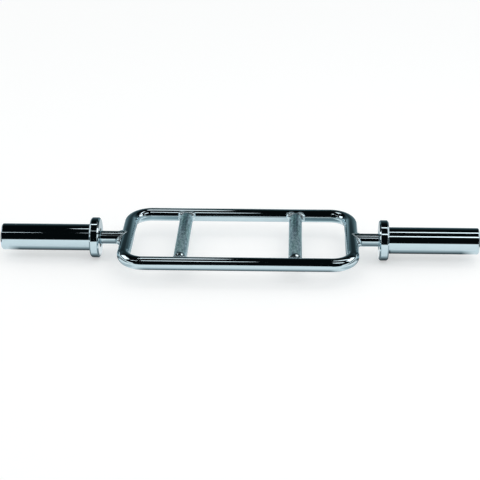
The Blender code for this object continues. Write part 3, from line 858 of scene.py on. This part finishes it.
COOL = (0.62, 1.0, 1.12)  # the tint of a dark shade; a pale one is nearly neutral
SHADOW = (0.80, 1.0, 1.08)
CLOTH_RADIUS = 4.0
CLOTH_BLACK = 0.0035
CLOTH_GREY = 0.095  # of the cloth's lower part, behind the bar
HEM_FRONT = math.radians(6)
HEM = math.radians(1)
HEM_SIDE = math.radians(13)  # the cloth is gathered up to here at the left and the right
FRONT_WIDTH = (2, 8)  # the hem goes down between these degrees off the front
SIDE_WIDTH = (52, 42)  # and up between these degrees off a side
GREY_BACK = (0.3, 0.7)  # the cloth turns grey between these shares of its radius, backwards
GREY_DOWN = (0.7, 0.3)  # and downwards
CLOTH_STEPS = 48
CLOTH_SIDES = 180
rows = []
shades = []
for step in range(CLOTH_STEPS + 1):
    row = []
    shade_row = []
    for side in range(CLOTH_SIDES):
        bearing = math.tau * side / CLOTH_SIDES
        direction = Vector((math.cos(bearing), math.sin(bearing), 0))
        off_front = math.degrees(direction.angle(Vector((0, -1, 0))))
        off_side = min(abs(off_front - 90), 90)
        foot = HEM_FRONT + (HEM - HEM_FRONT) * stepped(off_front, *FRONT_WIDTH)
        foot += (HEM_SIDE - foot) * stepped(off_side, *SIDE_WIDTH)
        rise = foot + (math.pi / 2 - foot) * step / CLOTH_STEPS
        point = direction * math.cos(rise) + Vector((0, 0, math.sin(rise)))
        row.append(point * CLOTH_RADIUS)
        grey = stepped(point.y, *GREY_BACK) * stepped(point.z, *GREY_DOWN)
        shade_row.append(CLOTH_BLACK + (CLOTH_GREY - CLOTH_BLACK) * grey)
    rows.append(row)
    shades.append(shade_row)
metal_only("black_cloth", rows, shades, COOL, closed=True)

# The screen behind the bar: dark at the top, paler at its foot, for the ends of the frame. Its
# columns are places along X in mm and shares of the grey, and its rows are heights and greys.
SCREEN_Y = 0.30
SCREEN_COLUMNS = ((-600, 1.0), (-300, 1.0), (-190, 1.1), (-140, 2.0), (-100, 2.0), (-50, 1.2), (0, 1.0),
                  (60, 1.5), (100, 2.2), (140, 1.6), (180, 0.9), (300, 1.0), (600, 1.0))
SCREEN_ROWS = ((-38, 0.26), (0, 0.20), (50, 0.17), (90, 0.12), (135, 0.045), (240, 0.02))
rows = [[Vector((x * MM, SCREEN_Y, z * MM)) for x, _ in SCREEN_COLUMNS] for z, _ in SCREEN_ROWS]
shades = [[share * value for _, share in SCREEN_COLUMNS] for _, value in SCREEN_ROWS]
metal_only("screen", rows, shades, COOL)

# A dark board beyond each end of the bar, lying on the paper and turned up at its far edge.
BOARD_SHADE = 0.06
BOARD_HALF = 0.5
BOARD_PROFILE = ((0.52, 0.0), (1.30, 0.0), (1.30, 0.13))  # how far out, and how high above the paper
for name, x_sign in (("left_board", -1), ("right_board", 1)):
    rows = [[Vector((x_sign * out, y, floor_z + MM + up)) for y in (-BOARD_HALF, BOARD_HALF)]
            for out, up in BOARD_PROFILE]
    metal_only(name, rows, [[BOARD_SHADE, BOARD_SHADE]] * len(rows), COOL)

# Cards on the paper, which only metal shows. Under the tubes and in the frame's windows they are
# painted shadow, as dark as the paper is close under a tube; behind the bar and beside its ends they
# are simply darker than the paper. A profile is places in mm across the tube's axis, with the shade
# at each. Then come how far a card lies over the paper in mm, its name, its profile, the axis it is
# measured from, and places along X with the share of the shade.
WHITE = 0.97
# Painted shadow under a sleeve, a rail, a collar and a spindle, and in a window of the frame.
SLEEVE_SHADOW = ((-42, WHITE), (-33, 0.62), (-23, 0.33), (-14, 0.13), (0, 0.05), (30, 0.04))
RAIL_SHADOW = ((-50, WHITE), (-33, 0.75), (-13, 0.30), (6, 0.10), (50, 0.07))
COLLAR_SHADOW = ((-42, 0.85), (-36, 0.50), (-31, 0.26), (-25, 0.10), (-12, 0.03), (30, 0.02))
SPINDLE_SHADOW = ((-160, 0.85), (-120, 0.66), (-75, 0.60), (-38, 0.34), (-22, 0.20), (-10, 0.20), (8, 0.93),
                 (40, 0.86), (77, 0.76), (130, 0.68), (165, 0.74), (190, WHITE))
WINDOW_SHADOW = ((-96, WHITE), (-88, 0.5), (0, 0.5), (74, 0.5), (86, 0.62), (104, WHITE))
# Darker paper behind the bar and beside its ends.
BEHIND_BAR = ((112, WHITE), (125, 0.45), (200, 0.38), (299, 0.30))
BESIDE_END = ((14, 0.90), (30, 0.40), (190, 0.40))
for lift, name, profile, y, columns in (
        (1.0, "under_left_sleeve", SLEEVE_SHADOW, 0, ((-445, 0), (-420, 1), (-268, 1))),
        (1.0, "under_right_sleeve", SLEEVE_SHADOW, 0, ((268, 1), (420, 1), (445, 0))),
        (1.0, "under_front_rail", RAIL_SHADOW, -rail_y, ((-200, 0), (-170, 1), (170, 1), (200, 0))),
        (1.0, "in_left_window", WINDOW_SHADOW, 0, ((-196, 0.9), (-124, 1.3))),
        (1.0, "in_right_window", WINDOW_SHADOW, 0, ((124, 1.5), (196, 1.6))),
        (1.0, "behind_bar", BEHIND_BAR, 0, ((-470, 0), (-440, 1), (440, 1), (470, 0))),
        (1.6, "beside_left_end", BESIDE_END, 0, ((-240, 1), (-222, 1))),
        (1.6, "beside_right_end", BESIDE_END, 0, ((222, 1), (240, 1))),
        (1.4, "under_left_collar", COLLAR_SHADOW, 0, ((-286, 1), (-263, 1))),
        (1.4, "under_right_collar", COLLAR_SHADOW, 0, ((263, 1), (286, 1))),
        (1.2, "under_left_spindle", SPINDLE_SHADOW, 0, ((-268, 1), (-218, 1))),
        (1.2, "under_right_spindle", SPINDLE_SHADOW, 0, ((218, 1), (268, 1)))):
    rows = [[Vector((x * MM, y + offset * MM, floor_z + lift * MM)) for x, _ in columns]
            for offset, _ in profile]
    shades = [[WHITE + (value - WHITE) * share for _, share in columns] for _, value in profile]
    metal_only(name, rows, shades, COOL if profile is WINDOW_SHADOW else SHADOW)


def soft_lamp(name, place, size, radiance, aim, shape='RECTANGLE', metal=False):
    """A flat soft lamp, turned to its aim, with its length along X, or along Y if it is at a side."""
    light = bpy.data.lights.new(name, 'AREA')
    light.shape = shape
    light.size, light.size_y = size
    area = size[0] * size[1] * (math.pi / 4 if shape == 'ELLIPSE' else 1.0)
    light.energy = radiance * math.pi * area
    light.color = LAMP_TINT
    lamp = bpy.data.objects.new(name, light)
    back = (Vector(place) - Vector(aim)).normalized()
    across = Vector((0, 1, 0)) if abs(back.x) > AT_A_SIDE else Vector((1, 0, 0))
    across = (across - back * across.dot(back)).normalized()
    lamp.location = place
    lamp.rotation_euler = Matrix((across, back.cross(across), back)).transposed().to_euler()
    lamp.visible_diffuse = not metal
    bpy.context.scene.collection.objects.link(lamp)


# The lamps over the bar stand on a cylinder round it. Each is given by its name, where it starts
# and ends along X, its angle in degrees above the front, its width, its radiance and its shape.
LAMP_DISTANCE = 1.6
LAMP_TINT = (1.0, 0.97, 0.97)
AT_A_SIDE = 0.7
for name, start, end, rise, width, radiance, shape in (
        ("left_rear_lamp", -0.43, -0.08, 114.0, 0.55, 1.15, 'ELLIPSE'),
        ("left_front_lamp", -0.42, 0.00, 66.0, 0.24, 1.6, 'ELLIPSE'),
        ("left_collar_rear_lamp", -0.57, -0.36, 104.5, 0.12, 2.4, 'ELLIPSE'),
        ("left_collar_front_lamp", -0.545, -0.46, 62.5, 0.08, 0.7, 'ELLIPSE'),
        ("left_spindle_lamp", -0.480, -0.424, 66.0, 0.85, 0.06, 'RECTANGLE'),
        ("left_outer_lamp", -1.80, -0.655, 61.5, 0.10, 1.8, 'ELLIPSE'),
        ("right_spindle_lamp", 0.302, 0.361, 80.0, 1.10, 0.10, 'RECTANGLE'),
        ("right_rear_lamp", 0.24, 1.60, 102.0, 0.26, 1.9, 'ELLIPSE'),
        ("right_front_lamp", 0.26, 1.60, 60.5, 0.26, 1.9, 'ELLIPSE')):
    angle = math.radians(rise)
    middle = (start + end) / 2
    soft_lamp(name, (middle, -math.cos(angle) * LAMP_DISTANCE, math.sin(angle) * LAMP_DISTANCE),
              (end - start, width), radiance, (middle, 0, 0), shape)

# One more lamp at each side, which only metal shows, for the bends and the collars' rims.
SIDE_LAMP = Vector((1.19, 0.12, 0.72))
SIDE_LAMP_SIZE = (0.72, 0.56)
SIDE_LAMP_RADIANCE = 1.8
for name, x_sign in (("left_side_lamp", -1), ("right_side_lamp", 1)):
    soft_lamp(name, (x_sign * SIDE_LAMP.x, SIDE_LAMP.y, SIDE_LAMP.z), SIDE_LAMP_SIZE,
              SIDE_LAMP_RADIANCE, (x_sign * end_x, 0, 0), metal=True)

# The camera, which was fitted to the outlines of the bar.
FOCAL_PIXELS = 1399.0
PICTURE_PIXELS = 480
SENSOR_MM = 36.0
CLIP_END = 100.0
CAMERA_DISTANCE = 2.646
CAMERA_RISE = math.radians(26.5)
CAMERA_TURN = math.radians(2.417)  # the camera stands this far round to the right
CAMERA_ROLL = math.radians(-0.463)
CAMERA_AIM = Vector((0.0015, 0.0, -0.0025))
lens = bpy.data.cameras.new("camera")
lens.sensor_width = SENSOR_MM
lens.lens = FOCAL_PIXELS / PICTURE_PIXELS * SENSOR_MM
lens.clip_end = CLIP_END
camera = bpy.data.objects.new("camera", lens)
camera.matrix_world = (
    Matrix.Translation(CAMERA_AIM) @ Matrix.Rotation(CAMERA_TURN, 4, 'Z')
    @ Matrix.Rotation(math.pi / 2 - CAMERA_RISE, 4, 'X') @ Matrix.Translation((0, 0, CAMERA_DISTANCE))
    @ Matrix.Rotation(CAMERA_ROLL, 4, 'Z'))
bpy.context.scene.collection.objects.link(camera)
bpy.context.scene.camera = camera
bpy.context.scene.view_settings.view_transform = 'Standard'
